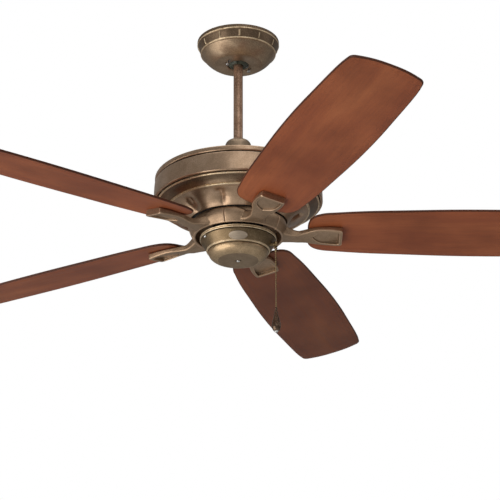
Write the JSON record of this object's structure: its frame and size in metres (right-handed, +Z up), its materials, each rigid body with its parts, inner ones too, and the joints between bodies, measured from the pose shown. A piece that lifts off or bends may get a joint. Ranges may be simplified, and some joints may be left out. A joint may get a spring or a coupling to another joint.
{
  "type": "ceiling fan",
  "caption": "Ceiling fan hung on a short downrod: canopy, round motor housing, cherry blades on curved cast arms, switch housing and pull chain, no lamp.",
  "frame": {"origin": "centre of the hanger bracket's top face, on the ceiling", "axes": "+Z up along the shaft when the fan hangs level, +X towards the first blade within 1.33 degrees, -Y towards the badge"},
  "size_m": [1.4227, 1.4753, 0.64],
  "materials": {
    "bronze": "mottled antique bronze, satin with brushed highlights",
    "arm_bronze": "cast metal in mottled antique bronze",
    "rod_bronze": "mottled copper bronze, satin",
    "cherry_wood": "cherry veneer, satin lacquer",
    "steel": "plain steel",
    "bright_screw": "bright plated",
    "zinc_steel": "zinc plated sheet",
    "ball_polymer": "moulded, dark grey green",
    "laminations": "stacked electrical steel",
    "copper": "enamelled copper wire",
    "cast_aluminium": "as cast",
    "rubber": "moulded rubber",
    "black_plastic": "moulded",
    "wire_jacket": "wire insulation",
    "chain_brass": "antique brass bead chain",
    "fob_bronze": "dark antique bronze, polished",
    "badge": "plain satin plate"
  },
  "bodies": {
    "ceiling": {"hanger_bracket": "zinc_steel", "canopy": "bronze", "canopy_screw_1": "bright_screw", "canopy_screw_2": "bright_screw"},
    "hanging": {"badge": "badge", "ball_pin": "steel", "ball_set_screw": "steel", "cap_plug": "bright_screw", "capacitor": "black_plastic", "chain_bushing": "chain_brass", "clevis_pin": "steel", "coupling_cover": "bronze", "coupling_screw_1": "steel", "coupling_screw_2": "steel", "downrod": "rod_bronze", "hanger_ball": "ball_polymer", "housing_band": "bronze", "housing_bowl": "bronze", "housing_screw_1": "bright_screw", "housing_screw_2": "bright_screw", "housing_top": "bronze", "lead_wires": "wire_jacket", "motor_shaft": "steel", "pull_switch": "black_plastic", "reverse_switch": "black_plastic", "shaft_coupling": "zinc_steel", "shaft_nut": "steel", "stator_core": "laminations", "switch_cap": "bronze", "switch_housing": "bronze", "switch_plate": "zinc_steel", "winding_lower": "copper", "winding_upper": "copper"},
    "rotor": {"rotor_cover_top": "cast_aluminium", "rotor_cover_bottom": "cast_aluminium", "rotor_ring": "laminations", "bearing_upper": "steel", "bearing_lower": "steel", "flywheel": "rubber", "blade_arm_1": "arm_bronze", "blade_arm_2": "arm_bronze", "blade_arm_3": "arm_bronze", "blade_arm_4": "arm_bronze", "blade_arm_5": "arm_bronze", "blade_1": "cherry_wood", "blade_2": "cherry_wood", "blade_3": "cherry_wood", "blade_4": "cherry_wood", "blade_5": "cherry_wood", "blade_plate_1": "arm_bronze", "blade_plate_2": "arm_bronze", "blade_plate_3": "arm_bronze", "blade_plate_4": "arm_bronze", "blade_plate_5": "arm_bronze"},
    "pull_eye": {"pull_eye": "chain_brass"},
    "chain_link": {"chain_coupling": "chain_brass"},
    "chain": {"pull_chain": "chain_brass", "chain_fob": "fob_bronze"},
    "reverse_lever": {"reverse_lever": "black_plastic"}
  },
  "joints": [
    {"name": "ball_tilt", "type": "hinge", "parent": "ceiling", "child": "hanging", "pos_m": [0, 0, -0.036], "axis": [1, 0, 0], "range_deg": [-20, 20]},
    {"name": "rotor_spin", "type": "hinge", "parent": "hanging", "child": "rotor", "pos_m": [0, 0, -0.347], "axis": [0, 0, 1], "continuous": true},
    {"name": "chain_pull", "type": "slide", "parent": "hanging", "child": "pull_eye", "axis": [0, 0, -1], "range_m": [0, 0.012], "stiffness_N_per_m": 1000, "springref_m": -0.004},
    {"name": "chain_swing_side", "type": "hinge", "parent": "pull_eye", "child": "chain_link", "pos_m": [0.07389, -0.0198, -0.4672], "axis": [0, 1, 0], "range_deg": [-25, 25]},
    {"name": "chain_swing_front", "type": "hinge", "parent": "chain_link", "child": "chain", "pos_m": [0.07389, -0.0198, -0.4738], "axis": [1, 0, 0], "range_deg": [-30, 30]},
    {"name": "reverse_slide", "type": "slide", "parent": "hanging", "child": "reverse_lever", "axis": [1, 0, 0], "range_m": [0, 0.006]}
  ]
}
